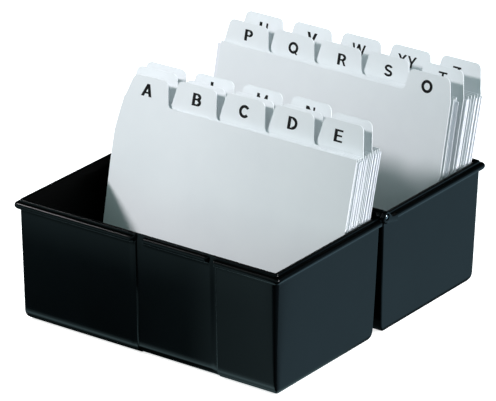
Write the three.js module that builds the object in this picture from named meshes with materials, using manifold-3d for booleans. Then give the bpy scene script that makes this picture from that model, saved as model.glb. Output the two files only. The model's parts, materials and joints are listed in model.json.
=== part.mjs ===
// A folding card index box, in millimetres. Two open trays are hinged together at their rims, and the
// rear one turns over the front one to close. Each tray holds lettered dividers with record cards
// behind them, leaning back against a wall.
//
// X runs along the hinge, Y towards the rear tray and Z up. The origin is on the surface that the open
// box stands on, under the middle of the box with its cards. The pieces are laid out about the hinge,
// and the whole box is then moved to that origin.

import * as THREE from 'three';
import { mergeVertices } from 'three/addons/utils/BufferGeometryUtils.js';
import Module from 'manifold-3d';

const wasm = await Module();
wasm.setup();

// Tray: the sizes of its walls are those at the rim, and the walls draw in towards the floor.
const TRAY_LENGTH = 162.5;
const TRAY_DEPTH = 92.9;
const RIM_HEIGHT = 69;
const WALL = 2;
const FLOOR = 2.5;
const DRAFT_ALONG = 1.2; // how far each end wall draws in over the full height
const DRAFT_ACROSS = 2.75; // the same for the walls that face front and back
const CORNER_RADIUS = 1.8;
const FOOT_RADIUS_ALONG = 3.5; // rounding under the end walls
const FOOT_RADIUS_ACROSS = 6; // rounding under the walls that face front and back
const CORNER_STEPS = 5;
const ARC_STEPS = 4; // on the small rounds of the bead and the tabs

// Flange: it runs round the outside of the rim, a little below the top, on all walls but the hinge wall.
const FLANGE_OVERHANG = 2.3;
const FLANGE_TOP = 67.5;
const FLANGE_BOTTOM = 64.6;
const FLANGE_CORNER_RADIUS = 2;
const FLANGE_EASE = 0.7; // the chamfer that stands for its rounded edges

// Grip: a stretch of the front wall is set back, and the flange there is a separate, taller bead.
const GRIP_LOW_X = -6.5;
const GRIP_HIGH_X = 43.7;
const GRIP_DEPTH = 0.9;
const BEAD_GAP = 4.6; // from each end of the set-back stretch to the bead
const BEAD_OVERHANG = 2;
const BEAD_END_RADIUS = 1.6;
const BEAD_TOP = 68.1;
const BEAD_BOTTOM = 63.9;

// Hinge: each tray has an ear outside one end wall and a knuckle along its hinge wall at the other end.
// A pin at each end joins one tray's ear to the other tray's knuckle.
const HINGE_Y = -3.4; // from the origin, as the cards lean out past the rear tray but not the front one
const HINGE_GAP = 2.66; // between the two hinge walls at the rim
const HINGE_HEIGHT = RIM_HEIGHT + 0.2;
const EAR_RADIUS = 3.05;
const EAR_REACH = 10; // how far an ear runs along the end wall
const EAR_SHOULDER = 5.2; // from the hinge axis to where the ear's rounded top meets its straight edge
const EAR_TOP_ANGLE = 108; // degrees up from the level line past the hinge, where the round top ends
const EAR_X = [82.3, 84.8]; // from the middle of the hinge
const KNUCKLE_X = [72, 81.9];
const EAR_CLEARANCE = 0.4;
const FLANGE_SETBACK = 0.5; // from the hinge wall to the ends of the flange
const PIN_X = [73, 84.7];
const PIN_RADIUS = 1.2;
const PIN_HOLE_RADIUS = 1.45;
const PIN_CROWN = [0.9, 0.1]; // the step that rounds the pin's end: its radius, and its depth below the tip
const PIN_EASE = 0.35; // depth of the rounding at the pin's end
const COUNTERBORE_RADIUS = 1.9;
const COUNTERBORE_DEPTH = 0.7;
const ROUND_STEPS = 24;

// Cards: dividers and record cards are all as wide, and the dividers' tabs take five places in turn.
const CARD_WIDTH = 148;
const CARD_HEIGHT = 103.6;
const DIVIDER_HEIGHT = 105;
const DIVIDER_THICKNESS = 0.4;
const SHEET_GAP = 0.3;
const TAB_PLACES = 5;
const TAB_HEIGHT = 15;
const TAB_SIDE_GAP = 0.3;
const TAB_TAPER = 2.6; // how far each side of a tab draws in from bottom to top
const TAB_FLARE = 2.4; // the hollow rounding where a tab meets the body
const TAB_RADIUS = 3.5;
const CARD_CLEARANCE = 0.4; // under the sheets, which swing about their own lower edges

// Front pack: it leans on the hinge wall. Places are where the first and last sheets stand.
const FRONT_PACK = {
  letters: ['a', 'b', 'c', 'd', 'e', 'f', 'g', 'h', 'i', 'j', 'k', 'l', 'm', 'n'],
  firstTab: 0,
  footY: [-43.5, -22.1],
  leanDegrees: [14.4, 14.4],
  rightX: [76.65, 77],
};

// Rear pack: it leans on the rear wall.
const REAR_PACK = {
  letters: ['o', 'p', 'q', 'r', 's', 't', 'u', 'v', 'w', 'xy', 'z'],
  firstTab: 4,
  footY: [55.4, 74.4],
  leanDegrees: [11.9, 14.4],
  rightX: [71.3, 77],
};

const plastic = { color: 0x14181b, roughness: 0.35, metalness: 0 };
const steel = { color: 0xb9bcc0, roughness: 0.3, metalness: 1 };
const board = { color: 0xdfe4e8, roughness: 0.6, metalness: 0 };
const paper = { color: 0xf2f4f6, roughness: 0.8, metalness: 0 };

const box = new THREE.Group();

// Adds a named mesh with a material of its own.
function addPiece(name, geometry, finish) {
  const mesh = new THREE.Mesh(geometry, new THREE.MeshStandardMaterial(finish));
  mesh.name = name;
  box.add(mesh);
  return mesh;
}

function toSolid(geometry) {
  const bare = geometry.clone();
  bare.deleteAttribute('normal');
  bare.deleteAttribute('uv');
  const merged = mergeVertices(bare, 1e-4);
  return new wasm.Manifold(new wasm.Mesh({
    numProp: 3,
    vertProperties: new Float32Array(merged.attributes.position.array),
    triVerts: new Uint32Array(merged.index.array),
  }));
}

function toGeometry(solid) {
  const mesh = solid.getMesh();
  const geometry = new THREE.BufferGeometry();
  geometry.setAttribute('position', new THREE.BufferAttribute(mesh.vertProperties, 3));
  geometry.setIndex(new THREE.BufferAttribute(mesh.triVerts, 1));
  return geometry;
}

// A block between two corners given as [x, y, z].
function block(low, high) {
  const size = high.map((value, axis) => value - low[axis]);
  const middle = high.map((value, axis) => (value + low[axis]) / 2);
  return toSolid(new THREE.BoxGeometry(...size).translate(...middle));
}

// A round bar along X about the hinge axis.
function hingeBar(lowX, highX, radius) {
  const bar = new THREE.CylinderGeometry(radius, radius, highX - lowX, ROUND_STEPS);
  bar.rotateZ(Math.PI / 2);
  return toSolid(bar.translate((lowX + highX) / 2, 0, HINGE_HEIGHT));
}

// A solid whose plan is a rounded rectangle at every level. Each level gives z, the half sizes and
// the corner radius, from the bottom up. It is a cylinder whose rings are moved onto those outlines.
function roundedBlock(levels) {
  const perCorner = CORNER_STEPS + 1;
  const sides = 4 * perCorner;
  const geometry = new THREE.CylinderGeometry(1, 1, 1, sides, levels.length - 1);
  const points = geometry.attributes.position;
  for (let i = 0; i < points.count; i += 1) {
    const across = points.getX(i);
    const along = points.getZ(i);
    const level = levels[Math.round((points.getY(i) + 0.5) * (levels.length - 1))];
    const step = Math.round((Math.atan2(across, along) / (2 * Math.PI) + 1) * sides) % sides;
    const corner = Math.floor(step / perCorner);
    const angle = (corner + (step % perCorner) / CORNER_STEPS) * Math.PI / 2;
    const onAxis = Math.hypot(across, along) < 0.5;
    const sideX = corner === 0 || corner === 3 ? 1 : -1;
    const sideY = corner < 2 ? 1 : -1;
    const x = sideX * (level.halfX - level.radius) + level.radius * Math.cos(angle);
    const y = sideY * (level.halfY - level.radius) + level.radius * Math.sin(angle);
    points.setXYZ(i, onAxis ? 0 : x, onAxis ? 0 : y, level.z);
  }
  return toSolid(geometry);
}

// The half sizes of the tray's outside at a height, drawn in all round by inset.
function trayLevel(z, inset, footAlong, footAcross, floorZ) {
  const rounding = (radius) => {
    const up = Math.min(Math.max((z - floorZ) / radius, 0), 1);
    return radius * (1 - Math.sqrt(1 - (1 - up) ** 2));
  };
  const drawIn = 1 - z / RIM_HEIGHT;
  return {
    z,
    halfX: TRAY_LENGTH / 2 - DRAFT_ALONG * drawIn - inset - rounding(footAlong),
    halfY: TRAY_DEPTH / 2 - DRAFT_ACROSS * drawIn - inset - rounding(footAcross),
    radius: CORNER_RADIUS - Math.min(inset, CORNER_RADIUS / 2),
  };
}

// The heights where the rounded foot of a wall needs an outline.
function footHeights(floorZ, radius) {
  const heights = [];
  for (let i = 0; i <= CORNER_STEPS; i += 1) {
    heights.push(floorZ + radius * (1 - Math.cos((i / CORNER_STEPS) * Math.PI / 2)));
  }
  return heights;
}

// The tray's outside as a full block, drawn in all round by inset.
function trayBlock(inset) {
  const heights = [...footHeights(0, FOOT_RADIUS_ACROSS), RIM_HEIGHT];
  return roundedBlock(heights.map((z) => trayLevel(z, inset, FOOT_RADIUS_ALONG, FOOT_RADIUS_ACROSS, 0)));
}

// The hollow inside the tray, running out past the rim.
function trayHollow() {
  const footAlong = FOOT_RADIUS_ALONG - WALL;
  const footAcross = FOOT_RADIUS_ACROSS - WALL;
  const heights = [...footHeights(FLOOR, footAcross), RIM_HEIGHT + 1];
  return roundedBlock(heights.map((z) => trayLevel(z, WALL, footAlong, footAcross, FLOOR)));
}

// The flange as a full slab, with its edges chamfered.
function flangeSlab() {
  const level = (z, ease) => ({
    z,
    halfX: TRAY_LENGTH / 2 + FLANGE_OVERHANG - ease,
    halfY: TRAY_DEPTH / 2 + FLANGE_OVERHANG - ease,
    radius: FLANGE_CORNER_RADIUS - ease,
  });
  return roundedBlock([
    level(FLANGE_BOTTOM, FLANGE_EASE),
    level(FLANGE_BOTTOM + FLANGE_EASE, 0),
    level(FLANGE_TOP - FLANGE_EASE, 0),
    level(FLANGE_TOP, FLANGE_EASE),
  ]);
}

// The bead in the middle of the grip, rounded at its ends, in the front tray's own place.
function gripBead() {
  const wallY = -HINGE_GAP / 2 - TRAY_DEPTH + GRIP_DEPTH;
  const lowX = GRIP_LOW_X + BEAD_GAP;
  const highX = GRIP_HIGH_X - BEAD_GAP;
  const frontY = wallY - BEAD_OVERHANG;
  const backY = wallY + WALL / 4;
  const radius = BEAD_END_RADIUS;
  const outline = new THREE.Shape();
  outline.moveTo(lowX, backY);
  outline.lineTo(lowX, frontY + radius);
  outline.absarc(lowX + radius, frontY + radius, radius, Math.PI, Math.PI * 1.5, false);
  outline.absarc(highX - radius, frontY + radius, radius, Math.PI * 1.5, Math.PI * 2, false);
  outline.lineTo(highX, backY);
  const depth = BEAD_TOP - BEAD_BOTTOM;
  const bead = new THREE.ExtrudeGeometry(outline, { depth, bevelEnabled: false, curveSegments: ARC_STEPS });
  return toSolid(bead.translate(0, 0, BEAD_BOTTOM));
}

// A hinge ear between two places along X: a round end about the hinge axis, running back along the wall.
function hingeEar(lowX, highX) {
  const topAngle = THREE.MathUtils.degToRad(EAR_TOP_ANGLE);
  const outline = new THREE.Shape();
  outline.moveTo(-EAR_REACH, FLANGE_BOTTOM);
  outline.lineTo(0, HINGE_HEIGHT - EAR_RADIUS);
  outline.absarc(0, HINGE_HEIGHT, EAR_RADIUS, -Math.PI / 2, topAngle, false);
  outline.lineTo(-EAR_SHOULDER, FLANGE_TOP);
  outline.lineTo(-EAR_REACH, FLANGE_TOP);
  const settings = { depth: highX - lowX, bevelEnabled: false, curveSegments: ROUND_STEPS / 2 };
  const ear = new THREE.ExtrudeGeometry(outline, settings);
  ear.rotateY(Math.PI / 2);
  ear.rotateX(Math.PI / 2);
  return toSolid(ear.translate(lowX, 0, 0));
}

// The front tray. Its ear is at the low end of X and its knuckle at the high end.
function makeTray() {
  const middleY = -(HINGE_GAP + TRAY_DEPTH) / 2;
  const farX = EAR_X[1] + 1;
  const roomRadius = EAR_RADIUS + EAR_CLEARANCE;
  const pastHinge = block([-farX, -HINGE_GAP / 2 - FLANGE_SETBACK, 0], [farX, EAR_REACH, RIM_HEIGHT]);
  const flange = flangeSlab().translate(0, middleY, 0).subtract(pastHinge);
  const gripStretch = block([GRIP_LOW_X, -TRAY_DEPTH - EAR_REACH, -1], [GRIP_HIGH_X, middleY, RIM_HEIGHT + 1]);
  const gripCut = gripStretch.subtract(trayBlock(GRIP_DEPTH).translate(0, middleY, 0));
  return trayBlock(0)
    .translate(0, middleY, 0)
    .add(flange)
    .subtract(gripCut)
    .add(gripBead())
    .subtract(trayHollow().translate(0, middleY, 0))
    .subtract(hingeBar(EAR_X[0] - EAR_CLEARANCE, farX, roomRadius))
    .subtract(hingeBar(-EAR_X[0], -KNUCKLE_X[0] + EAR_CLEARANCE, roomRadius))
    .add(hingeEar(-EAR_X[1], -EAR_X[0]))
    .add(hingeBar(...KNUCKLE_X, EAR_RADIUS))
    .subtract(hingeBar(-farX, -KNUCKLE_X[0], PIN_HOLE_RADIUS))
    .subtract(hingeBar(KNUCKLE_X[0] - 1, farX, PIN_HOLE_RADIUS))
    .subtract(hingeBar(-farX, -EAR_X[1] + COUNTERBORE_DEPTH, COUNTERBORE_RADIUS));
}

// A hinge pin along +X: a plain shank through a knuckle and an ear, with a low rounded end.
function hingePin() {
  const length = PIN_X[1] - PIN_X[0];
  const profile = [
    new THREE.Vector2(0, 0),
    new THREE.Vector2(PIN_RADIUS, 0),
    new THREE.Vector2(PIN_RADIUS, length - PIN_EASE),
    new THREE.Vector2(PIN_CROWN[0], length - PIN_CROWN[1]),
    new THREE.Vector2(0, length),
  ];
  const pin = new THREE.LatheGeometry(profile, ROUND_STEPS);
  pin.rotateZ(-Math.PI / 2);
  return toSolid(pin.translate(PIN_X[0], 0, 0));
}

// A divider's outline, with its lower left corner at the origin and its tab in one of the places.
function dividerOutline(tabPlace) {
  const pitch = CARD_WIDTH / TAB_PLACES;
  const left = pitch * tabPlace + TAB_SIDE_GAP;
  const right = pitch * (tabPlace + 1) - TAB_SIDE_GAP;
  const top = DIVIDER_HEIGHT + TAB_HEIGHT;
  const slope = Math.atan(TAB_TAPER / TAB_HEIGHT);
  const inset = TAB_TAPER + TAB_RADIUS * Math.tan((Math.PI / 2 - slope) / 2);
  const flareEnd = TAB_FLARE * Math.tan(slope);
  const flareRight = Math.min(right + TAB_FLARE, CARD_WIDTH);
  const flareLeft = Math.max(left - TAB_FLARE, 0);
  const outline = new THREE.Shape();
  outline.moveTo(0, 0);
  outline.lineTo(CARD_WIDTH, 0);
  outline.lineTo(CARD_WIDTH, DIVIDER_HEIGHT);
  outline.lineTo(flareRight, DIVIDER_HEIGHT);
  outline.quadraticCurveTo(right, DIVIDER_HEIGHT, right - flareEnd, DIVIDER_HEIGHT + TAB_FLARE);
  outline.absarc(right - inset, top - TAB_RADIUS, TAB_RADIUS, slope, Math.PI / 2, false);
  outline.absarc(left + inset, top - TAB_RADIUS, TAB_RADIUS, Math.PI / 2, Math.PI - slope, false);
  outline.lineTo(left + flareEnd, DIVIDER_HEIGHT + TAB_FLARE);
  outline.quadraticCurveTo(left, DIVIDER_HEIGHT, flareLeft, DIVIDER_HEIGHT);
  outline.lineTo(0, DIVIDER_HEIGHT);
  return outline;
}

function cardOutline() {
  const outline = new THREE.Shape();
  outline.moveTo(0, 0);
  outline.lineTo(CARD_WIDTH, 0);
  outline.lineTo(CARD_WIDTH, CARD_HEIGHT);
  outline.lineTo(0, CARD_HEIGHT);
  return outline;
}

// Adds an upright sheet whose front face stands on footY and leans back. depth is its thickness.
function addSheet(name, outline, finish, depth, leftX, footY, lean) {
  const settings = { depth, bevelEnabled: false, curveSegments: ARC_STEPS };
  const sheet = addPiece(name, new THREE.ExtrudeGeometry(outline, settings), finish);
  sheet.rotation.x = Math.PI / 2 - lean;
  sheet.position.set(leftX, footY + depth / Math.cos(lean), FLOOR + CARD_CLEARANCE);
}

// Adds a divider and the record cards behind it for each letter of a pack, from front to back.
function addPack(pack) {
  const count = pack.letters.length;
  const pitch = (pack.footY[1] - pack.footY[0]) / count;
  pack.letters.forEach((letter, index) => {
    const share = index / (count - 1);
    const lean = THREE.MathUtils.degToRad(THREE.MathUtils.lerp(...pack.leanDegrees, share));
    const leftX = THREE.MathUtils.lerp(...pack.rightX, share) - CARD_WIDTH;
    const footY = pack.footY[0] + pitch * index;
    const cardsY = footY + (DIVIDER_THICKNESS + SHEET_GAP) / Math.cos(lean);
    const cardsDepth = (footY + pitch - cardsY) * Math.cos(lean) - SHEET_GAP;
    const outline = dividerOutline((pack.firstTab + index) % TAB_PLACES);
    addSheet(`divider_${letter}`, outline, board, DIVIDER_THICKNESS, leftX, footY, lean);
    addSheet(`cards_${letter}`, cardOutline(), paper, cardsDepth, leftX, cardsY, lean);
  });
}

const trayGeometry = toGeometry(makeTray());
addPiece('front_tray', trayGeometry, plastic);
addPiece('rear_tray', trayGeometry.clone(), plastic).rotation.z = Math.PI;

const pinGeometry = toGeometry(hingePin());
addPiece('hinge_pin_right', pinGeometry, steel).position.z = HINGE_HEIGHT;
const leftPin = addPiece('hinge_pin_left', pinGeometry.clone(), steel);
leftPin.rotation.z = Math.PI;
leftPin.position.z = HINGE_HEIGHT;

addPack(FRONT_PACK);
addPack(REAR_PACK);
box.position.y = HINGE_Y;

export default box;
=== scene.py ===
import json
import math
import random

import bmesh
import bpy
import numpy as np
from mathutils import Matrix, Vector
from mathutils.geometry import delaunay_2d_cdt


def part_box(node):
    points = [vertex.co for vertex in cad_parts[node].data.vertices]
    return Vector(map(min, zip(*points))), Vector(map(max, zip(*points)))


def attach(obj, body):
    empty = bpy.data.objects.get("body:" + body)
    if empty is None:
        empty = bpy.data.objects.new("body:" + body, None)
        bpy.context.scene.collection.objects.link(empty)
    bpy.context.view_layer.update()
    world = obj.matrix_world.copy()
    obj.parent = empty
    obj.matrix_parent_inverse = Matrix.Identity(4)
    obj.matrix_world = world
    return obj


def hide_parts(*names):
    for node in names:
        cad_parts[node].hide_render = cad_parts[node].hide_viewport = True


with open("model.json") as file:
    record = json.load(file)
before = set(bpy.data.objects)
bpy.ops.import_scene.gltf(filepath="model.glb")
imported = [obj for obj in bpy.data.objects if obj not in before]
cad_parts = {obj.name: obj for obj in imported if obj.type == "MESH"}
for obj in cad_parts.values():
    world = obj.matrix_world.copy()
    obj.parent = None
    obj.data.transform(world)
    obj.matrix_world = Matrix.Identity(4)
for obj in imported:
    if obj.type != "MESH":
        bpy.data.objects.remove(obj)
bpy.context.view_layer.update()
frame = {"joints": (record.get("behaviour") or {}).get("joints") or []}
MM = 0.001
BODY_SMOOTH_ANGLE = 35
SHEET_SMOOTH_ANGLE = 60
JOINTS = {joint["name"]: joint for joint in frame["joints"]}
HINGE = Vector(JOINTS["tray_fold"]["pos_m"]) / MM

# Tray, in millimetres. It is built with the hinge axis above y = 0 and the tray on the low side of it.
TRAY_LENGTH = 162.5
TRAY_DEPTH = 92.9
RIM_HEIGHT = 69
WALL = 2
FLOOR = 2.5
DRAFT_ALONG = 1.2  # how far each end wall draws in over the full height
DRAFT_ACROSS = 2.75  # the same for the walls that face front and back
CORNER_RADIUS = 1.8
HINGE_CORNER_RADIUS = 1.2
FLANGE_CORNER_RADIUS = 2.0
FOOT_RADIUS_ALONG = 3.5
FOOT_RADIUS_ACROSS = 6
LONG_WALL_END = 78  # the last columns along each wall, short of its corners
SIDE_FRONT_MARGIN = 3
SIDE_HINGE_MARGIN = 1.3
FLANGE_OVERHANG = 2.3
FLANGE_BOTTOM = 63.8
FLANGE_TOP = 67.8
FLANGE_ROUNDING = 1.8
BEAD_OVERHANG = 2.0
BEAD_BOTTOM = 63.9
BEAD_TOP = 68.1
GRIP_LOW = -6.5  # the set-back stretch of the front wall, along x
GRIP_HIGH = 43.7
GRIP_DEPTH = 0.9
GRIP_END_LOW = GRIP_LOW - 0.4  # where the flange stops on each side of it
GRIP_END_HIGH = GRIP_HIGH - 1.3
BEAD_LOW = -1.9
BEAD_HIGH = 39.1
BEAD_END_RADIUS = 1.6
FLANGE_END_RADIUS = 1.5
HINGE_GAP = 2.66
EAR_RADIUS = 3.05
EAR_X = (82.3, 84.8)
KNUCKLE_X = (72, 81.9)
EAR_CLEARANCE = 0.4
FLANGE_SETBACK = 0.5
PIN_X = (73, 84.7)
COUNTERBORE_RADIUS = 1.9
COUNTERBORE_DEPTH = 0.7
PIN_RADIUS = 1.2
PIN_HOLE_RADIUS = 1.45
TRAY_MIDDLE = (HINGE_GAP + TRAY_DEPTH) / 2  # from the hinge axis

# Cards.
CARD_WIDTH = 148
CARD_HEIGHT = 103.6
DIVIDER_HEIGHT = 105
DIVIDER_THICKNESS = 0.4
CARD_THICKNESS = 0.24
TAB_PLACES = 5
TAB_HEIGHT = 15
TAB_TAPER = 2.6  # how far each side of a tab draws in from bottom to top
TAB_FLARE = 2.4  # the hollow rounding where a tab meets the body
TAB_SIDE_GAP = 0.3
TAB_RADIUS = 3.4


# ---------------------------------------------------------------- mesh helpers

def make_object(name, points, faces, material, smooth_angle=BODY_SMOOTH_ANGLE):
    """A mesh object from points in millimetres."""
    mesh = bpy.data.meshes.new(name)
    mesh.from_pydata([tuple(c * MM for c in p) for p in points], [], faces)
    mesh.materials.append(material)
    obj = bpy.data.objects.new(name, mesh)
    bpy.context.scene.collection.objects.link(obj)
    tidy_mesh(mesh)
    shade(mesh, smooth_angle)
    return obj


def tidy_mesh(mesh):
    bm = bmesh.new()
    bm.from_mesh(mesh)
    bmesh.ops.remove_doubles(bm, verts=bm.verts, dist=1e-6)
    bmesh.ops.dissolve_degenerate(bm, edges=bm.edges, dist=1e-7)
    bmesh.ops.recalc_face_normals(bm, faces=bm.faces)
    bm.to_mesh(mesh)
    bm.free()


def shade(mesh, angle):
    mesh.shade_smooth()
    mesh.set_sharp_from_angle(angle=math.radians(angle))


def apply_modifiers(obj):
    depsgraph = bpy.context.evaluated_depsgraph_get()
    mesh = bpy.data.meshes.new_from_object(obj.evaluated_get(depsgraph))
    obj.modifiers.clear()
    obj.data = mesh


def boolean(obj, other, operation):
    modifier = obj.modifiers.new(operation, "BOOLEAN")
    modifier.operation = operation
    modifier.solver = "EXACT"
    modifier.object = other
    bpy.context.view_layer.update()
    apply_modifiers(obj)
    bpy.data.objects.remove(other)


def ring_faces(rings, count):
    """Quads between closed rings of points laid out one after another."""
    faces = []
    for ring in range(rings - 1):
        for i in range(count):
            j = (i + 1) % count
            faces.append((ring * count + i, ring * count + j, (ring + 1) * count + j, (ring + 1) * count + i))
    return faces


def smooth_step(low, high, value):
    t = min(max((value - low) / (high - low), 0), 1)
    return t * t * (3 - 2 * t)


# ---------------------------------------------------------------- materials

def new_material(name):
    material = bpy.data.materials.new(name)
    material.use_nodes = True
    tree = material.node_tree
    shader = tree.nodes["Principled BSDF"]
    return material, tree, shader


def noise(tree, scale, detail, roughness=0.6):
    coordinates = tree.nodes.new("ShaderNodeTexCoord")
    made = tree.nodes.new("ShaderNodeTexNoise")
    for name, value in (("Scale", scale), ("Detail", detail), ("Roughness", roughness)):
        made.inputs[name].default_value = value
    tree.links.new(coordinates.outputs["Object"], made.inputs["Vector"])
    return made


def spread(tree, value, low, high, to_low, to_high):
    made = tree.nodes.new("ShaderNodeMapRange")
    made.inputs["From Min"].default_value = low
    made.inputs["From Max"].default_value = high
    made.inputs["To Min"].default_value = to_low
    made.inputs["To Max"].default_value = to_high
    tree.links.new(value, made.inputs["Value"])
    return made.outputs["Result"]


def mix_colors(tree, factor, first, second, blend_type="MIX"):
    """Each of factor, first and second is a plain value or another node's output."""
    made = tree.nodes.new("ShaderNodeMix")
    made.data_type = "RGBA"
    made.blend_type = blend_type
    for socket, value in ((made.inputs[0], factor), (made.inputs[6], first), (made.inputs[7], second)):
        if isinstance(value, tuple):
            socket.default_value = (*value, 1)
        elif isinstance(value, (int, float)):
            socket.default_value = value
        else:
            tree.links.new(value, socket)
    return made.outputs[2]


def gray_ramp(tree, value, stops):
    """A gray that follows (position, level) stops."""
    made = tree.nodes.new("ShaderNodeValToRGB")
    elements = made.color_ramp.elements
    while len(elements) < len(stops):
        elements.new(0.5)
    for element, (position, level) in zip(elements, stops):
        element.position = position
        element.color = (level, level, level, 1)
    tree.links.new(value, made.inputs["Fac"])
    return made.outputs["Color"]


def add_bump(tree, shader, height, strength, distance):
    bump = tree.nodes.new("ShaderNodeBump")
    bump.inputs["Strength"].default_value = strength
    bump.inputs["Distance"].default_value = distance
    tree.links.new(height, bump.inputs["Height"])
    tree.links.new(bump.outputs["Normal"], shader.inputs["Normal"])


def calculate(tree, operation, first, second=0.0):
    made = tree.nodes.new("ShaderNodeMath")
    made.operation = operation
    for socket, value in ((made.inputs[0], first), (made.inputs[1], second)):
        if isinstance(value, (int, float)):
            socket.default_value = value
        else:
            tree.links.new(value, socket)
    return made.outputs[0]


def object_axes(tree, output="Object"):
    coordinates = tree.nodes.new("ShaderNodeTexCoord")
    axes = tree.nodes.new("ShaderNodeSeparateXYZ")
    tree.links.new(coordinates.outputs[output], axes.inputs[0])
    return axes.outputs


def painted_shade_mask(tree):
    """1 on the surfaces that face into a tray and on the rim's flat top, where the plastic is painted as in
    shade, and 0 on the others. The insides are told apart halfway through the walls and the floor."""
    end_wall_middle = (TRAY_LENGTH - DRAFT_ALONG - WALL) / 2
    x, y, z = object_axes(tree)
    across = calculate(tree, "LESS_THAN", calculate(tree, "ABSOLUTE", x), end_wall_middle * MM)
    from_hinge = calculate(tree, "ABSOLUTE", calculate(tree, "SUBTRACT", y, HINGE.y * MM))
    from_middle = calculate(tree, "ABSOLUTE", calculate(tree, "SUBTRACT", from_hinge, TRAY_MIDDLE * MM))
    wall_at_foot = (TRAY_DEPTH / 2 - DRAFT_ACROSS - WALL / 2) * MM
    drawn_out = calculate(tree, "MULTIPLY", z, DRAFT_ACROSS / RIM_HEIGHT)
    along = calculate(tree, "LESS_THAN", from_middle, calculate(tree, "ADD", drawn_out, wall_at_foot))
    above = calculate(tree, "GREATER_THAN", z, FLOOR / 2 * MM)
    facing_in = calculate(tree, "MULTIPLY", calculate(tree, "MULTIPLY", across, along), above)
    normal_z = object_axes(tree, "Normal")[2]
    high_up = calculate(tree, "GREATER_THAN", z, RIM_HEIGHT / 2 * MM)
    facing_up = calculate(tree, "MULTIPLY", spread(tree, normal_z, 0.45, 0.8, 0, 1), high_up)
    return calculate(tree, "MAXIMUM", facing_in, facing_up)


def tray_material():
    material, tree, shader = new_material("moulded_black_plastic")
    grain = noise(tree, 2600, 2)
    cloud = noise(tree, 22, 5)
    # Painted shade: inside the tray and on the rim's flat top the plastic gets less gloss, more roughness and
    # a nearly black colour.
    inside = painted_shade_mask(tree)
    tree.links.new(spread(tree, inside, 0, 1, 0.14, 0.015), shader.inputs["Specular IOR Level"])
    color = mix_colors(tree, spread(tree, cloud.outputs["Fac"], 0.3, 0.7, 0, 1),
                       (0.001, 0.0018, 0.0022), (0.0018, 0.003, 0.0037))
    # Painted shade: the colour goes nearly black inside the tray and on the rim's flat top.
    tree.links.new(mix_colors(tree, inside, color, (0.0004, 0.0005, 0.0005)), shader.inputs["Base Color"])
    roughness = spread(tree, cloud.outputs["Fac"], 0.3, 0.7, 0.1, 0.15)
    rougher_inside = calculate(tree, "MULTIPLY", inside, 0.2)
    tree.links.new(calculate(tree, "ADD", roughness, rougher_inside), shader.inputs["Roughness"])
    add_bump(tree, shader, grain.outputs["Fac"], 0.15, 0.00004)
    return material


def steel_material():
    material, tree, shader = new_material("turned_steel")
    shader.inputs["Metallic"].default_value = 1
    rings = noise(tree, 900, 3)
    color = mix_colors(tree, rings.outputs["Fac"], (0.22, 0.23, 0.24), (0.34, 0.35, 0.37))
    tree.links.new(color, shader.inputs["Base Color"])
    tree.links.new(spread(tree, rings.outputs["Fac"], 0.3, 0.7, 0.16, 0.3), shader.inputs["Roughness"])
    add_bump(tree, shader, rings.outputs["Fac"], 0.2, 0.00003)
    return material


def board_material(name, light, dark):
    material, tree, shader = new_material(name)
    fibre = noise(tree, 700, 8, 0.7)
    cloud = noise(tree, 35, 3)
    shader.inputs["Specular IOR Level"].default_value = 0.35
    color = mix_colors(tree, spread(tree, cloud.outputs["Fac"], 0.3, 0.7, 0, 1), light, dark)
    tree.links.new(color, shader.inputs["Base Color"])
    tree.links.new(spread(tree, fibre.outputs["Fac"], 0.3, 0.7, 0.5, 0.65), shader.inputs["Roughness"])
    add_bump(tree, shader, fibre.outputs["Fac"], 0.25, 0.00005)
    return material


def ink_material():
    material, tree, shader = new_material("printed_black_ink")
    speck = noise(tree, 3500, 3)
    color = mix_colors(tree, spread(tree, speck.outputs["Fac"], 0.35, 0.75, 0, 1),
                       (0.001, 0.001, 0.001), (0.004, 0.004, 0.005))
    tree.links.new(color, shader.inputs["Base Color"])
    tree.links.new(spread(tree, speck.outputs["Fac"], 0.3, 0.7, 0.5, 0.7), shader.inputs["Roughness"])
    shader.inputs["Specular IOR Level"].default_value = 0.15
    return material


PLASTIC = tray_material()
STEEL = steel_material()
BOARD = board_material("divider_board", (0.80, 0.83, 0.85), (0.77, 0.80, 0.825))
PAPER = board_material("record_card_paper", (0.84, 0.86, 0.90), (0.80, 0.82, 0.87))
INK = ink_material()


# ---------------------------------------------------------------- trays

def front_places():
    """Places along the front wall, close together where its shape changes."""
    places = []
    for low, high, step in ((-LONG_WALL_END, -12, 4), (-12, -4.6, 0.2), (-4.6, -2.2, 0.6), (-2.2, 0.6, 0.2),
                            (0.6, 36.6, 4), (36.6, 45.4, 0.2), (45.4, LONG_WALL_END, 4)):
        count = max(1, round((high - low) / step))
        places += [low + (high - low) * i / count for i in range(count)]
    return places + [LONG_WALL_END]


def tray_columns():
    """The columns of points round the tray, seen from above, as (kind, place along the wall or corner)."""
    half_y = TRAY_DEPTH / 2
    side_places = list(np.linspace(SIDE_FRONT_MARGIN - half_y, half_y - 6, 20))
    side_places += list(np.linspace(half_y - 5.5, half_y - SIDE_HINGE_MARGIN, 22))
    columns = [("front", x) for x in front_places()]
    columns += [("corner", (1, -1, a)) for a in np.linspace(-90, 0, 9)]
    columns += [("right", y) for y in side_places]
    columns += [("hinge_corner", (1, 1, a)) for a in np.linspace(0, 90, 5)]
    columns += [("back", x) for x in np.linspace(LONG_WALL_END, -LONG_WALL_END, 40)]
    columns += [("hinge_corner", (-1, 1, a)) for a in np.linspace(90, 180, 5)]
    columns += [("left", y) for y in side_places[::-1]]
    columns += [("corner", (-1, -1, a)) for a in np.linspace(180, 270, 9)]
    return columns


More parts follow.
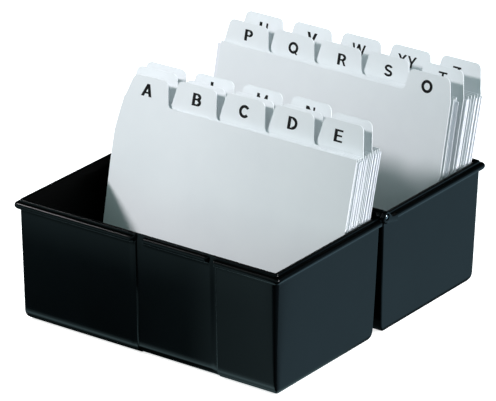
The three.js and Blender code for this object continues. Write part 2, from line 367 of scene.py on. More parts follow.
def grip_depth(x):
    """How far the front wall is set back at a place along it. A faint crease leads in from the left."""
    low = smooth_step(GRIP_LOW - 0.3, GRIP_LOW + 0.5, x)
    crease = 0.12 * smooth_step(GRIP_LOW - 4.2, GRIP_LOW - 1.0, x)
    high = 1 - smooth_step(GRIP_HIGH - 0.5, GRIP_HIGH + 0.4, x)
    shallower = 1 - 0.25 * smooth_step(GRIP_HIGH - 4.6, GRIP_HIGH - 0.6, x)
    inside = GRIP_DEPTH * low * high * shallower
    return max(inside, crease if x < GRIP_LOW + 0.5 else 0)


def round_end(distance, radius):
    """1 well inside an end, falling to 0 at it round a quarter circle."""
    t = min(max(distance / radius, 0), 1)
    return math.sqrt(1 - (1 - t) ** 2)


def flange_shape(kind, place):
    """(weight, overhang from the nominal wall, bottom, top) of the flange at a place on the rim."""
    if kind == "front":
        if GRIP_END_LOW < place < GRIP_END_HIGH:
            from_end = min(place - BEAD_LOW, BEAD_HIGH - place)
            return round_end(from_end, BEAD_END_RADIUS), BEAD_OVERHANG, BEAD_BOTTOM, BEAD_TOP
        from_end = GRIP_END_LOW - place if place < 0 else place - GRIP_END_HIGH
        return round_end(from_end, FLANGE_END_RADIUS), FLANGE_OVERHANG, FLANGE_BOTTOM, FLANGE_TOP
    if kind in ("right", "left"):
        y = place - TRAY_DEPTH / 2 - HINGE_GAP / 2
        weight = round_end(-HINGE_GAP / 2 - FLANGE_SETBACK - y, 0.4)
        return weight, FLANGE_OVERHANG, FLANGE_BOTTOM, FLANGE_TOP
    if kind == "corner":
        return 1, FLANGE_OVERHANG, FLANGE_BOTTOM, FLANGE_TOP
    return 0, 0, FLANGE_BOTTOM, FLANGE_TOP


def tray_point(kind, data, z, out_x, out_y):
    """The point of a column at a height, out_x and out_y beyond the nominal rim rectangle."""
    half_x = TRAY_LENGTH / 2 + out_x
    half_y = TRAY_DEPTH / 2 + out_y
    out = (out_x + out_y) / 2

    def corner_radius(base):
        if out > 0:
            return base + (FLANGE_CORNER_RADIUS - base) * out / FLANGE_OVERHANG
        return max(base + out / 2, base / 2)

    def corner(sign_x, sign_y, degrees, base):
        radius = corner_radius(base)
        a = math.radians(degrees)
        cx, cy = sign_x * (half_x - radius), sign_y * (half_y - radius)
        return cx + radius * math.cos(a), cy + radius * math.sin(a)

    def draw_in(value, start, widest, limit):
        """Keep places past start within limit, so a wall's points stay between its corners."""
        if value <= start or limit >= widest:
            return value
        return start + (value - start) * (limit - start) / (widest - start)

    along = data
    if kind in ("front", "back"):
        limit = half_x - corner_radius(CORNER_RADIUS) - 0.2
        along = math.copysign(draw_in(abs(data), 55, LONG_WALL_END, limit), data)
    elif kind in ("right", "left") and data < 0:
        limit = half_y - corner_radius(CORNER_RADIUS) - 0.2
        along = -draw_in(-data, 25, TRAY_DEPTH / 2 - SIDE_FRONT_MARGIN, limit)
    elif kind in ("right", "left"):
        limit = half_y - corner_radius(HINGE_CORNER_RADIUS) - 0.05
        along = draw_in(data, 25, TRAY_DEPTH / 2 - SIDE_HINGE_MARGIN, limit)
    if kind == "front":
        x, y = along, -half_y
    elif kind == "back":
        x, y = along, half_y
    elif kind == "right":
        x, y = half_x, along
    elif kind == "left":
        x, y = -half_x, along
    elif kind == "corner":
        x, y = corner(*data, CORNER_RADIUS)
    else:
        x, y = corner(*data, HINGE_CORNER_RADIUS)
    return x, y - TRAY_MIDDLE, z


def wall_out(z, inset=0, foot_along=FOOT_RADIUS_ALONG, foot_across=FOOT_RADIUS_ACROSS, floor=0):
    """How far the (end walls, front and back walls) stand beyond the nominal rim rectangle at a height."""
    def rounding(radius):
        up = min(max((z - floor) / radius, 0), 1)
        return radius * (1 - math.sqrt(max(1 - (1 - up) ** 2, 0)))
    draw_in = 1 - z / RIM_HEIGHT
    return (-DRAFT_ALONG * draw_in - inset - rounding(foot_along),
            -DRAFT_ACROSS * draw_in - inset - rounding(foot_across))


def foot_levels(low, radius, steps):
    """Heights up a foot's rounding, close together at the bottom."""
    return [low + radius * (1 - math.cos(i / steps * math.pi / 2)) for i in range(steps + 1)]


def flange_section():
    """(share of the way from bottom to top, share of the overhang, extra out, extra up) round the flange."""
    rounding = []
    for i in range(5):
        a = math.radians(90 * i / 4)
        rounding.append((FLANGE_ROUNDING * (math.sin(a) - 1), FLANGE_ROUNDING * (1 - math.cos(a))))
    section = [(0, 0, 0, -0.5), (0, 0, 0.04, -0.2), (0, 0, 0.14, -0.04)]
    section += [(0, 1, out, up) for out, up in rounding]
    section += [(1, 1, out, -up) for out, up in rounding[::-1]]
    return section + [(1, 0, 0.14, 0.04), (1, 0, 0.04, 0.2)]


FLANGE_SECTION = flange_section()
# The rim's lip above the flange: (out from the nominal rim, up from its top).
LIP_EDGE = [(0, -0.45), (-0.08, -0.2), (-0.22, -0.06), (-0.45, 0)]
LIP_SECTION = LIP_EDGE + [(-WALL - out, up) for out, up in LIP_EDGE[::-1]]
PLAIN_LOW = FLANGE_BOTTOM - 1.2  # the rings of the section spread over these heights where there is no flange
PLAIN_HIGH = FLANGE_TOP + 0.4


def outer_point(kind, data, z):
    out_x, out_y = wall_out(z)
    back = grip_depth(data) if kind == "front" else 0
    return tray_point(kind, data, z, out_x, out_y - back)


def flange_point(kind, data, index):
    up, along, extra_out, extra_up = FLANGE_SECTION[index]
    weight, overhang, low, high = flange_shape(kind, data)
    plain_z = PLAIN_LOW + (PLAIN_HIGH - PLAIN_LOW) * index / (len(FLANGE_SECTION) - 1)
    z = plain_z + (low + (high - low) * up + extra_up - plain_z) * weight
    out = (along * overhang + extra_out) * weight
    out_x, out_y = wall_out(z)
    back = grip_depth(data) if kind == "front" else 0
    return tray_point(kind, data, z, out_x + out, out_y + out - back)


def lip_point(kind, data, out, up):
    """The grip's set-back fades out across the top of the rim."""
    back = grip_depth(data) if kind == "front" else 0
    back *= 1 - min(max(-out / 1.2, 0), 1)
    return tray_point(kind, data, RIM_HEIGHT + up, out, out - back)


def inner_point(kind, data, z):
    out_x, out_y = wall_out(z, WALL, FOOT_RADIUS_ALONG - WALL, FOOT_RADIUS_ACROSS - WALL, FLOOR)
    return tray_point(kind, data, z, out_x, out_y)


def closed_skin(rings):
    """Points and faces of a body from its rings of points, closed at both ends."""
    count = len(rings[0])
    last = (len(rings) - 1) * count
    faces = ring_faces(len(rings), count)
    faces.append(tuple(range(count))[::-1])
    faces.append(tuple(last + i for i in range(count)))
    return [p for ring in rings for p in ring], faces


def build_tray(name):
    """One tray, ring by ring: up the outside, round the flange and the lip, and down the inside."""
    columns = tray_columns()
    outer = foot_levels(0, FOOT_RADIUS_ACROSS, 10) + [9, 14, 20, 27, 34, 41, 48, 54, 59, 62]
    inner = [64, 50, 34, 18] + foot_levels(FLOOR, FOOT_RADIUS_ACROSS - WALL, 8)[::-1]
    rings = [[outer_point(*column, z) for column in columns] for z in outer]
    rings += [[flange_point(*column, index) for column in columns] for index in range(len(FLANGE_SECTION))]
    rings += [[lip_point(*column, out, up) for column in columns] for out, up in LIP_SECTION]
    rings += [[inner_point(*column, z) for column in columns] for z in inner]
    tray = make_object(name, *closed_skin(rings), PLASTIC)
    add_ears(tray)
    return tray


def lathe_x(name, profile, steps=48):
    """A closed round body about the hinge axis, from (x, radius) pairs whose ends are on the axis."""
    points = []
    for x, radius in profile:
        for i in range(steps):
            a = 2 * math.pi * i / steps
            points.append((x, radius * math.cos(a), HINGE.z + radius * math.sin(a)))
    return make_object(name, points, ring_faces(len(profile), steps), PLASTIC)


def cutter(low, high, radius):
    return lathe_x("cutter", [(low, 0), (low, radius), (high, radius), (high, 0)])


def ear(low, high):
    """An ear with a round end about the hinge axis and eased edges. It runs back along the end wall."""
    ease = 0.35
    flange_start, root = -5.2, -10
    outline = []
    for i in range(25):
        a = math.radians(-90 + 198 * i / 24)
        ny, nz = math.cos(a), math.sin(a)
        outline.append((EAR_RADIUS * ny, HINGE.z + EAR_RADIUS * nz, ny, nz))
    outline += [(flange_start, FLANGE_TOP, 0.2, 1), (root, FLANGE_TOP, 0, 1), (root, FLANGE_BOTTOM, 0, -1)]
    rings = []
    for x, inset in ((low, ease), (low + ease * 0.3, ease * 0.3), (low + ease, 0),
                     (high - ease, 0), (high - ease * 0.3, ease * 0.3), (high, ease)):
        rings.append([(x, y - ny * inset, z - nz * inset) for y, z, ny, nz in outline])
    return make_object("ear", *closed_skin(rings), PLASTIC)


def knuckle(low, high):
    ease = 0.3
    start = [(low, 0), (low, EAR_RADIUS - ease), (low + ease * 0.3, EAR_RADIUS - ease * 0.3),
             (low + ease, EAR_RADIUS)]
    return lathe_x("knuckle", start + [(low + high - x, radius) for x, radius in start[::-1]])


def add_ears(tray):
    room = EAR_RADIUS + EAR_CLEARANCE
    far = EAR_X[1] + 1
    boolean(tray, cutter(EAR_X[0] - EAR_CLEARANCE, far, room), "DIFFERENCE")
    boolean(tray, cutter(-EAR_X[0], -KNUCKLE_X[0] + EAR_CLEARANCE, room), "DIFFERENCE")
    boolean(tray, ear(-EAR_X[1], -EAR_X[0]), "UNION")
    boolean(tray, knuckle(*KNUCKLE_X), "UNION")
    boolean(tray, cutter(-far, -KNUCKLE_X[0], PIN_HOLE_RADIUS), "DIFFERENCE")
    boolean(tray, cutter(KNUCKLE_X[0] - 1, far, PIN_HOLE_RADIUS), "DIFFERENCE")
    boolean(tray, cutter(-far, -EAR_X[1] + COUNTERBORE_DEPTH, COUNTERBORE_RADIUS), "DIFFERENCE")
    shade(tray.data, BODY_SMOOTH_ANGLE)


def place(obj, turned):
    """Move a piece onto the hinge axis, turned half round for the other tray."""
    turn = Matrix.Rotation(math.pi if turned else 0, 4, "Z")
    obj.data.transform(Matrix.Translation(Vector((0, HINGE.y * MM, 0))) @ turn)


front_tray = build_tray("front_tray_shell")
rear_tray = front_tray.copy()
rear_tray.data = front_tray.data.copy()
rear_tray.name = "rear_tray_shell"
bpy.context.scene.collection.objects.link(rear_tray)
for tray, turned, body in ((front_tray, False, "front_tray"), (rear_tray, True, "rear_tray")):
    place(tray, turned)
    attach(tray, body)
    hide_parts(body)


def build_pin(name, turned, body, cad_node):
    start, tip = PIN_X
    profile = [(start, 0), (start, PIN_RADIUS - 0.25), (start + 0.25, PIN_RADIUS)]
    profile += [(tip - 0.4, PIN_RADIUS), (tip - 0.28, PIN_RADIUS - 0.06), (tip - 0.16, PIN_RADIUS - 0.22),
                (tip - 0.07, PIN_RADIUS - 0.5), (tip - 0.02, 0.35), (tip, 0)]
    pin = lathe_x(name, profile)
    pin.data.materials[0] = STEEL
    place(pin, turned)
    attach(pin, body)
    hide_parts(cad_node)


build_pin("hinge_pin_right_turned", False, "rear_tray", "hinge_pin_right")
build_pin("hinge_pin_left_turned", True, "front_tray", "hinge_pin_left")


# ---------------------------------------------------------------- cards

def tab_half(reach, height):
    """(x, height) up one side of a tab from the body line to its top, with x = 0 at the tab's edge."""
    slope = math.atan(TAB_TAPER / TAB_HEIGHT)
    taper = height * math.tan(slope)
    inset = taper + TAB_RADIUS * math.tan((math.pi / 2 - slope) / 2)
    points = []
    for i in range(7):
        t = i / 6
        points.append((t * t * TAB_FLARE * math.tan(slope) - (1 - t) ** 2 * reach, t * t * TAB_FLARE))
    for i in range(11):
        a = math.pi - slope - (math.pi / 2 - slope) * i / 10
        points.append((inset + TAB_RADIUS * math.cos(a), height - TAB_RADIUS + TAB_RADIUS * math.sin(a)))
    return points


def tab_profile(tab_place, height):
    """(x, height above the body) along a tab's edge, from where it leaves the body line to where it ends."""
    pitch = CARD_WIDTH / TAB_PLACES
    left = pitch * tab_place + TAB_SIDE_GAP
    right = pitch * (tab_place + 1) - TAB_SIDE_GAP
    low = [(left + x, h) for x, h in tab_half(min(TAB_FLARE, left), height)]
    high = [(right - x, h) for x, h in tab_half(min(TAB_FLARE, CARD_WIDTH - right), height)[::-1]]
    return low + high


def sheet_columns(width, tab):
    """Places along a sheet, and the height of its tab above the body at each of those that the tab is on."""
    columns = [width * i / 48 for i in range(49)]
    if not tab:
        return columns, {}
    profile = tab_profile(*tab)
    low, high = profile[0][0], profile[-1][0]
    columns = [c for c in columns if c < low - 0.05 or high + 0.05 < c] + [0, width]
    tops = {round(x, 6): h for x, h in profile}
    middle = len(profile) // 2
    for x in list(np.linspace(profile[middle - 1][0], profile[middle][0], 7))[1:-1]:
        tops[round(x, 6)] = tab[1]
    return sorted(set([round(c, 6) for c in columns] + list(tops))), tops


def add_grid(points, faces, columns, heights):
    """Add a grid of quads. heights gives each column's places from bottom to top."""
    start, count = len(points), len(heights[0])
    for u, places in zip(columns, heights):
        points += [(float(u), float(v)) for v in places]
    for i in range(len(columns) - 1):
        for j in range(count - 1):
            a, b = start + i * count + j, start + (i + 1) * count + j
            faces.append((a, b, b + 1, a + 1))


def sheet_mesh(name, width, height, thickness, tab, warp, placement, material):
    """An upright sheet as a grid, with its thickness towards the back. tab is None or (place, height), and
    warp takes a place on the flat sheet to (along, up, back)."""
    columns, tops = sheet_columns(width, tab)
    rows = [height * i / 30 for i in range(31)]
    points, faces = [], []
    add_grid(points, faces, columns, [rows] * len(columns))
    if tab:
        on_tab = [c for c in columns if c in tops]
        add_grid(points, faces, on_tab, [[height + tops[c] * j / 6 for j in range(7)] for c in on_tab])
    placed = [stand(placement, *warp(u, v)) for u, v in points]
    sheet = make_object(name, placed, faces, material, SHEET_SMOOTH_ANGLE)
    solidify_back(sheet, thickness, placement[2])
    return sheet


def stand(placement, along, up_sheet, backward):
    """The point at a place on a sheet, from the sheet's lower left front corner."""
    origin, up, back = placement
    return origin + Vector((along, 0, 0)) + up_sheet * up + backward * back


def solidify_back(sheet, thickness, back):
    """Close a flat mesh into a body by copying it backwards and joining the two borders."""
    bm = bmesh.new()
    bm.from_mesh(sheet.data)
    front = list(bm.faces)
    border = [e for e in bm.edges if e.is_boundary]
    copied = {}
    offset = Vector(back) * thickness * MM
    for v in list(bm.verts):
        copied[v] = bm.verts.new(v.co + offset)
    for f in front:
        bm.faces.new([copied[v] for v in reversed(f.verts)])
    for e in border:
        a, b = e.verts
        bm.faces.new([a, b, copied[b], copied[a]])
    bmesh.ops.recalc_face_normals(bm, faces=bm.faces)
    bm.to_mesh(sheet.data)
    bm.free()
    shade(sheet.data, SHEET_SMOOTH_ANGLE)


# Letters, in millimetres on the sheet.
CAP = 6.2  # height of a capital
STROKE = 1.62  # width of an upright stroke
BEND = 1.42  # width of a bent one
THIN = 0.95  # width of a level one


def bar(x0, y0, x1, y1):
    return [[(x0, y0), (x1, y0), (x1, y1), (x0, y1)]]


def leg(bottom, top, wide=1.66, y0=0, y1=CAP):
    """A slanted stroke with level ends, given where its low and high ends start along x."""
    return [[(bottom, y0), (bottom + wide, y0), (top + wide, y1), (top, y1)]]


def bend_stroke(cx, cy, rx, ry, low, high, wide=BEND):
    """A stroke round part of an ellipse, from low to high degrees."""
    steps = max(4, round(abs(high - low) / 9))
    quads = []
    for i in range(steps):
        corners = []
        for step, inward in ((i, 0), (i + 1, 0), (i + 1, wide), (i, wide)):
            a = math.radians(low + (high - low) * step / steps)
            corners.append((cx + (rx - inward) * math.cos(a), cy + (ry - inward) * math.sin(a)))
        quads.append(corners)
    return quads


STEM = bar(0, 0, STROKE, CAP)
ROOF = CAP - THIN
P_BOWL = bar(0.5, ROOF, 2.9, CAP) + bar(0.5, 2.4, 2.9, 3.35) + bend_stroke(2.9, 4.3, 2.0, 1.9, -90, 90)
GLYPHS = {
    "A": leg(0, 2.2) + leg(4.45, 2.25) + bar(1.0, 1.4, 4.7, 2.3),
    "B": STEM + bar(0.5, ROOF, 2.7, CAP) + bar(0.5, 2.75, 2.9, 3.7) + bar(0.5, 0, 2.9, THIN)
    + bend_stroke(2.7, 4.475, 1.95, 1.725, -90, 90) + bend_stroke(2.9, 1.85, 2.05, 1.85, -90, 90),
    "C": bend_stroke(2.9, 3.1, 2.9, 3.2, 38, 322),
    "D": STEM + bar(0.5, ROOF, 2.3, CAP) + bar(0.5, 0, 2.3, THIN) + bend_stroke(2.3, 3.1, 2.9, 3.1, -90, 90),
    "E": STEM + bar(0.5, ROOF, 4.5, CAP) + bar(0.5, 2.7, 4.2, 3.6) + bar(0.5, 0, 4.6, THIN),
    "F": STEM + bar(0.5, ROOF, 4.4, CAP) + bar(0.5, 2.6, 4.0, 3.5),
    "G": bend_stroke(2.9, 3.1, 2.9, 3.2, 38, 335) + bar(3.0, 2.5, 5.7, 3.4) + bar(4.75, 0.1, 5.7, 3.4),
    "H": STEM + bar(4.2, 0, 5.3, CAP) + bar(0.5, 2.7, 4.8, 3.65),
    "I": STEM,
    "J": bend_stroke(1.9, 1.9, 1.9, 2.0, 180, 360) + bar(2.7, 1.9, 3.8, CAP),
    "K": STEM + leg(0.7, 3.8, 1.4, 1.9, CAP) + leg(3.85, 1.6, 1.35, 0, 3.7),
    "L": STEM + bar(0.5, 0, 4.3, THIN),
    "M": STEM + bar(5.3, 0, 6.4, CAP) + leg(2.6, 0, 1.2) + leg(2.6, 5.2, 1.2),
    "N": STEM + bar(4.2, 0, 5.3, CAP) + leg(4.05, 0),
    "O": bend_stroke(2.95, 3.1, 2.95, 3.2, 0, 360),
    "P": STEM + P_BOWL,
    "Q": bend_stroke(2.95, 3.1, 2.95, 3.2, 0, 360) + leg(4.7, 3.1, 1.15, -0.35, 1.8),
    "R": STEM + P_BOWL + leg(3.9, 2.4, 1.25, 0, 2.9),
    "S": bend_stroke(2.5, 4.45, 2.3, 1.85, 18, 270, 1.25)
    + bend_stroke(2.5, 1.75, 2.45, 1.85, -162, 90, 1.25),
    "T": bar(0, ROOF, 5.1, CAP) + bar(2.0, 0, 3.1, CAP),
    "U": bar(0, 2.3, STROKE, CAP) + bar(4.1, 2.3, 5.2, CAP) + bend_stroke(2.6, 2.4, 2.6, 2.5, 180, 360),
    "V": leg(2.2, 0) + leg(2.2, 4.4),
    "W": leg(1.6, 0, 1.15) + leg(1.6, 3.45, 1.15) + leg(5.3, 3.45, 1.15) + leg(5.3, 6.9, 1.15),
    "X": leg(0, 4.0, 1.35) + leg(4.0, 0, 1.35),
    "Y": bar(2.1, 0, 3.2, 2.8) + leg(2.05, 0, 1.25, 2.3) + leg(2.0, 4.1, 1.25, 2.3),
    "Z": bar(0, ROOF, 4.8, CAP) + bar(0, 0, 4.8, THIN) + leg(0.05, 3.4, 1.35),
}
LETTER_WIDEN = 1.07
LETTER_GAP = 0.55
INK_RISE = 0.03  # how far the ink stands out of the sheet
INK_THICKNESS = 0.04


def inside_quad(point, quad):
    """Whether a point is inside a convex quad of either winding."""
    signs = []
    for (x0, y0), (x1, y1) in zip(quad, quad[1:] + quad[:1]):
        signs.append((x1 - x0) * (point[1] - y0) - (y1 - y0) * (point[0] - x0))
    return all(v > -1e-7 for v in signs) or all(v < 1e-7 for v in signs)


def glyph_triangles(text):
    """Flat triangles that cover the strokes of one or two letters, side by side."""
    quads, start = [], 0
    for character in text:
        placed = [[(x + start, y) for x, y in quad] for quad in GLYPHS[character]]
        start = max(x for quad in placed for x, _ in quad) + LETTER_GAP
        quads += placed
    corners = [Vector(p) for quad in quads for p in quad]
    loops = [[4 * i, 4 * i + 1, 4 * i + 2, 4 * i + 3] for i in range(len(quads))]
    points, _, faces, *_ = delaunay_2d_cdt(corners, [], loops, 0, 1e-5)
    kept = []
    for face in faces:
        middle = sum((points[i] for i in face), Vector((0, 0))) / len(face)
        if any(inside_quad(middle, quad) for quad in quads):
            kept.append(tuple(face))
    return points, kept


def letter_mesh(name, text, size, u_middle, v_middle, warp, placement):
    """One or two letters in ink on a sheet, about a middle on the flat sheet."""
    points, faces = glyph_triangles(text)
    low_x, high_x = min(p.x for p in points), max(p.x for p in points)
    world = []
    for p in points:
        along, up, back = warp(u_middle + (p.x - (low_x + high_x) / 2) * LETTER_WIDEN * size,
                               v_middle + (p.y - CAP / 2) * size)
        world.append(stand(placement, along, up, back - INK_RISE))
    letter = make_object(name, world, faces, INK)
    solidify_back(letter, INK_THICKNESS, placement[2])
    return letter


def section_placement(letter, back_offset=0):
    """Where a sheet of a section stands: its lower left front corner, and its up and back directions."""
    foot = Vector(JOINTS["swing_" + letter]["pos_m"]) / MM
    up = Vector(JOINTS["lift_" + letter]["axis"])
    back = Vector((0, up.z, -up.y))
    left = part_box("divider_" + letter)[0].x / MM
    return Vector((left, foot.y + back_offset / up.z, foot.z)), up, back


def front_warp(depth, u, v):
    """How far a place on a sheet that stands depth behind the first one is moved (along, back). The front
    sheets bow forward at their left edges, and their top left corners are cut away in a long curve."""
    bow_depth, bow_width = 3.3, 38
    curve_start, curve_width = 86, 26
    bow = -bow_depth * math.exp(-depth / 25) * smooth_step(15, 88, v) * max(0, 1 - u / bow_width) ** 2
    high = max(0, v - curve_start)
    corner = 0.17 * high * high / (high + 4) * max(0, 1 - u / curve_width) * max(0, 1 - depth / 4.5)
    return corner, bow


def rear_warp(depth, u, v):
    """The first five sections lean closer together towards the top."""
    packed = 7.6  # from the first section to the fifth
    pull = 0.38 * smooth_step(10, 105, v)
    if depth <= packed:
        return 0, -depth * pull
    return 0, -pull * max(0, packed - (depth - packed) * 4)


# Where sections differ from the usual: the height of the tab, how high the letter's middle is above the
# body, the letter's size, and how far the divider, or the letter alone, is shifted along.
TAB_TOPS = {"a": 13.6, "g": 13.3, "h": 13.3, "i": 13.3, "o": 11.8, "p": 12.7, "q": 12.7, "r": 12.7,
            "s": 12.7, "t": 13.4}
LETTER_HEIGHT = 6.9
LETTER_HEIGHTS = {"a": 6.5, "b": 7.5, "c": 7.5, "d": 7.5, "k": 8.3, "l": 9.0, "m": 9.1, "n": 8.7,
                  "o": 4.5, "p": 5.9, "q": 4.9, "r": 4.7, "s": 4.7, "t": 7.2, "u": 7.5, "v": 8.0,
                  "w": 7.6, "xy": 7.4, "z": 7.4}
DIVIDER_SHIFTS = {"o": 0.8, "p": 1.0, "q": -0.4, "r": -1.2, "s": -1.9}
LETTER_SIZES = {"a": 1.08, "b": 1.08, "c": 1.08, "d": 1.08, "e": 1.06, "o": 1.1}
LETTER_SHIFTS = {"a": -1, "b": 0.8, "e": -2, "o": -0.8, "p": 0.7, "q": 0.3, "r": 1.4, "s": 0.7,
                 "w": -1.2, "xy": -1.9, "z": -2}
# How a section's record cards sit: how many there are, how far apart, how far the first is behind the
# divider's face, and how far they are shifted along.
FULL_FRONT_CARDS = (3, 0.26, 0.46)
FRONT_CARDS = (2, 0.3, 0.5)
PACKED_CARDS = (2, 0.28, 0.46)
FULL_REAR_CARDS = (4, 0.26, 0.46)
REAR_CARDS = (3, 0.28, 0.46)
CARD_SHIFTS = {"a": 0.1, "b": 0.8, "c": 0.9, "d": -1.2, "e": 0.6, "f": 0.8, "g": -1.5, "h": -0.7,
               "i": -1.3, "j": 0.7, "k": 1.0, "l": -0.9, "m": 0.8, "n": 0.9, "o": -1.3, "p": 0.6,
               "q": -0.6, "r": 0.9, "s": -1.3, "t": 1.1, "u": 0.3, "v": -1.6, "w": 1.0, "xy": 1.1,
               "z": 0.7}


def shifted(pack_warp, depth, shift):
    """A pack's warp for one sheet, shifted along."""
    def warp(u, v):
        along, back = pack_warp(depth, u, v)
        return u + shift + along, v, back
    return warp


def build_divider(letter, tab_place, depth, pack_warp):
    placement = section_placement(letter)
    warp = shifted(pack_warp, depth, DIVIDER_SHIFTS.get(letter, 0))
    tab = (tab_place, TAB_TOPS.get(letter, TAB_HEIGHT))
    divider = sheet_mesh(f"divider_sheet_{letter}", CARD_WIDTH, DIVIDER_HEIGHT, DIVIDER_THICKNESS, tab,
                         warp, placement, BOARD)
    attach(divider, "divider_" + letter)
    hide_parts("divider_" + letter)
    letter_along = CARD_WIDTH / TAB_PLACES * (tab_place + 0.5) + LETTER_SHIFTS.get(letter, 0)
    letter_up = DIVIDER_HEIGHT + LETTER_HEIGHTS.get(letter, LETTER_HEIGHT)
    ink = letter_mesh(f"index_letter_{letter}", letter.upper(), LETTER_SIZES.get(letter, 1), letter_along,
                      letter_up, warp, placement)
    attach(ink, "divider_" + letter)


def build_cards(letter, depth, pack_warp, cards):
    """A section's record cards, each a little out of line and some a little lower than others."""
    rng = random.Random(f"card {letter}")
    count, spacing, start = cards
    for k in range(count):
        offset = start + k * spacing
        warp = shifted(pack_warp, depth + offset, CARD_SHIFTS[letter] + rng.uniform(-0.12, 0.12))
        card = sheet_mesh(f"record_card_{letter}_{k + 1}", CARD_WIDTH, CARD_HEIGHT - rng.uniform(0, 0.9),
                          CARD_THICKNESS, None, warp, section_placement(letter, offset), PAPER)
        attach(card, "cards_" + letter)
        if k == 0:
            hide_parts("cards_" + letter)


def build_pack(letters, first_tab, pack_warp, cards_of):
    first = section_placement(letters[0])[0]
    for index, letter in enumerate(letters):
        depth = section_placement(letter)[0].y - first.y
        build_divider(letter, (first_tab + index) % TAB_PLACES, depth, pack_warp)
        build_cards(letter, depth, pack_warp, cards_of(letter))


def front_cards(letter):
    return FULL_FRONT_CARDS if letter in "bcefjkmn" else FRONT_CARDS


def rear_cards(letter):
    if letter in "opqrs":
        return PACKED_CARDS
    return FULL_REAR_CARDS if letter in ("t", "w", "xy") else REAR_CARDS


build_pack(list("abcdefghijklmn"), 0, front_warp, front_cards)
build_pack(["o", "p", "q", "r", "s", "t", "u", "v", "w", "xy", "z"], 4, rear_warp, rear_cards)


# ---------------------------------------------------------------- studio

def floor_material():
    material, tree, shader = new_material("pale_floor")
    shader.inputs["Base Color"].default_value = (0.9, 0.9, 0.9, 1)
    shader.inputs["Emission Color"].default_value = (1, 1, 1, 1)
    shader.inputs["Emission Strength"].default_value = 0.8
    shader.inputs["Roughness"].default_value = 0.9
    shader.inputs["Specular IOR Level"].default_value = 0.1
    return material


def level_square(name, half, z, material):
    """A level square round the origin, where half is half the length of its side."""
    corners = [(-half, -half, z), (half, -half, z), (half, half, z), (-half, half, z)]
    return make_object(name, corners, [(0, 1, 2, 3)], material)


def painted_reflection_material():
    """A painted reflection: a glowing square, not a lamp, that the plastic mirrors in place of the floor, so
    that the walls take the photograph's tones as they are seen from its side. In front of the box the glow is
    dim, with paler bands and a painted highlight line along the wall's foot. To the right of the box it is
    evenly pale blue."""
    material = bpy.data.materials.new("painted_reflection_glow")
    material.use_nodes = True
    tree = material.node_tree
    tree.nodes.clear()
    wall_foot = -0.096
    turned_cosine, turned_sine = 0.819, 0.574  # of 35 degrees, the camera's azimuth
    corner = 0.12  # the skew of the box's front right corner
    x, y, _ = object_axes(tree)
    ahead = spread(tree, y, -0.3, wall_foot, 0, 1)
    # The pattern is measured along a line turned from the box's length, so that each stretch of wall keeps
    # one brightness from top to bottom as it is seen from the front right.
    skew = calculate(tree, "SUBTRACT", calculate(tree, "MULTIPLY", x, turned_cosine),
                     calculate(tree, "MULTIPLY", y, turned_sine))
    far = gray_ramp(tree, ahead, ((0, 0.6), (0.42, 0.55), (0.66, 0.07), (0.9, 0.04), (1, 0.04)))
    left_share = mix_colors(tree, spread(tree, skew, 0.06, 0.1, 0, 1), (1, 1, 1), (0.35, 0.35, 0.35))
    wall_end = gray_ramp(tree, spread(tree, skew, -0.02, 0.13, 0, 1),
                         ((0.06, 0.02), (0.4, 0), (0.62, 0.06), (0.72, 0.34), (0.92, 0.52)))
    # A painted highlight: a bright line along the foot of the wall.
    foot_line = gray_ramp(tree, ahead, ((0.955, 0), (0.98, 1.5), (1, 0)))
    glow = mix_colors(tree, 1, mix_colors(tree, 1, far, left_share, "MULTIPLY"),
                      mix_colors(tree, 1, wall_end, foot_line, "ADD"), "ADD")
    # The painted reflection darkens both walls towards the corner between them.
    past_corner = spread(tree, skew, corner - 0.0005, corner + 0.0005, 0, 1)
    front_tint = mix_colors(tree, past_corner, (0.6, 0.93, 1), (0.02, 0.02, 0.02))
    in_front = mix_colors(tree, 1, glow, front_tint, "MULTIPLY")
    behind_corner = spread(tree, skew, corner - 0.0005, corner - 0.0025, 0, 1)
    to_the_right = mix_colors(tree, behind_corner, (0.02, 0.02, 0.02), (0.26, 0.426, 0.52))
    beside = spread(tree, x, 0.0815, 0.084, 0, 1)
    emission = tree.nodes.new("ShaderNodeEmission")
    emission.inputs["Strength"].default_value = 1.7
    tree.links.new(mix_colors(tree, beside, in_front, to_the_right), emission.inputs["Color"])
    output = tree.nodes.new("ShaderNodeOutputMaterial")
    tree.links.new(emission.outputs[0], output.inputs["Surface"])
    return material


floor = level_square("studio_floor", 6000, 0, floor_material())
floor.visible_glossy = False
floor.visible_diffuse = False
# Only reflections see this glowing square, a painted reflection that stands in for the floor there.
painted_reflection_glow = level_square("painted_reflection_glow", 900, -0.3, painted_reflection_material())
painted_reflection_glow.visible_camera = False
painted_reflection_glow.visible_diffuse = False
painted_reflection_glow.visible_shadow = False
painted_reflection_glow.visible_transmission = False


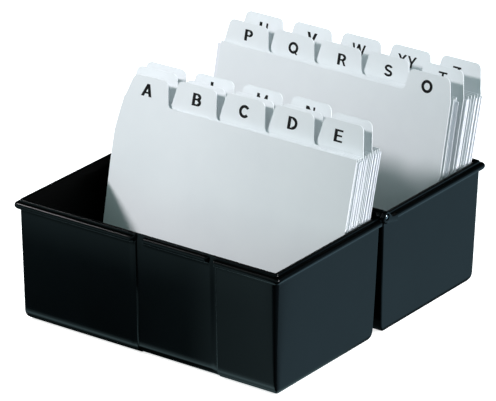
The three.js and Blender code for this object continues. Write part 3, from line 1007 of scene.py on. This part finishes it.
def add_area(name, position, target, size, watts, color):
    light = bpy.data.lights.new(name, "AREA")
    light.shape = "SQUARE"
    light.size = size
    light.energy = watts
    light.color = color
    lamp = bpy.data.objects.new(name, light)
    bpy.context.scene.collection.objects.link(lamp)
    lamp.location = position
    lamp.rotation_euler = (Vector(target) - Vector(position)).to_track_quat("-Z", "Y").to_euler()


add_area("key_light", (-0.385, -0.345, 0.4), (0, -0.02, 0.09), 0.07, 3.35, (1, 0.955, 0.985))
add_area("right_softbox", (1.5, 0.32, 0.6), (0, 0, 0.09), 0.6, 40, (0.97, 0.97, 1))


def add_world():
    """A room that is bright in front and overhead, and dark behind the box and below."""
    world = bpy.data.worlds.new("studio_world")
    bpy.context.scene.world = world
    world.use_nodes = True
    tree = world.node_tree
    background = tree.nodes["Background"]
    background.inputs["Strength"].default_value = 0.44
    _, y, z = object_axes(tree, "Generated")
    upper = mix_colors(tree, spread(tree, y, -0.2, 0.75, 0, 1), (0.64, 0.91, 0.88), (0.05, 0.08, 0.085))
    color = mix_colors(tree, spread(tree, z, -0.04, 0.04, 0, 1), (0.03, 0.05, 0.055), upper)
    tree.links.new(color, background.inputs["Color"])


add_world()
bpy.context.scene.view_settings.view_transform = "Standard"


def add_camera():
    """A long lens from the front right, a little above the box, leaning by less than a degree."""
    azimuth, elevation, roll = math.radians(35.07), math.radians(22.87), math.radians(0.72)
    target = Vector((-79.47, 109.30 + HINGE.y, 0)) * MM
    distance = 2.556
    back = Vector((math.sin(azimuth) * math.cos(elevation), -math.cos(azimuth) * math.cos(elevation),
                   math.sin(elevation)))
    right = (-back).cross(Vector((0, 0, 1))).normalized()
    up = right.cross(-back)
    turned_right = math.cos(roll) * right + math.sin(roll) * up
    turned_up = -math.sin(roll) * right + math.cos(roll) * up
    data = bpy.data.cameras.new("camera")
    data.sensor_width = 36
    data.lens = 333.9145
    data.clip_end = 100
    camera = bpy.data.objects.new("camera", data)
    bpy.context.scene.collection.objects.link(camera)
    basis = Matrix((turned_right, turned_up, back)).transposed().to_4x4()
    camera.matrix_world = Matrix.Translation(target + back * distance) @ basis
    bpy.context.scene.camera = camera


add_camera()
bpy.context.view_layer.update()
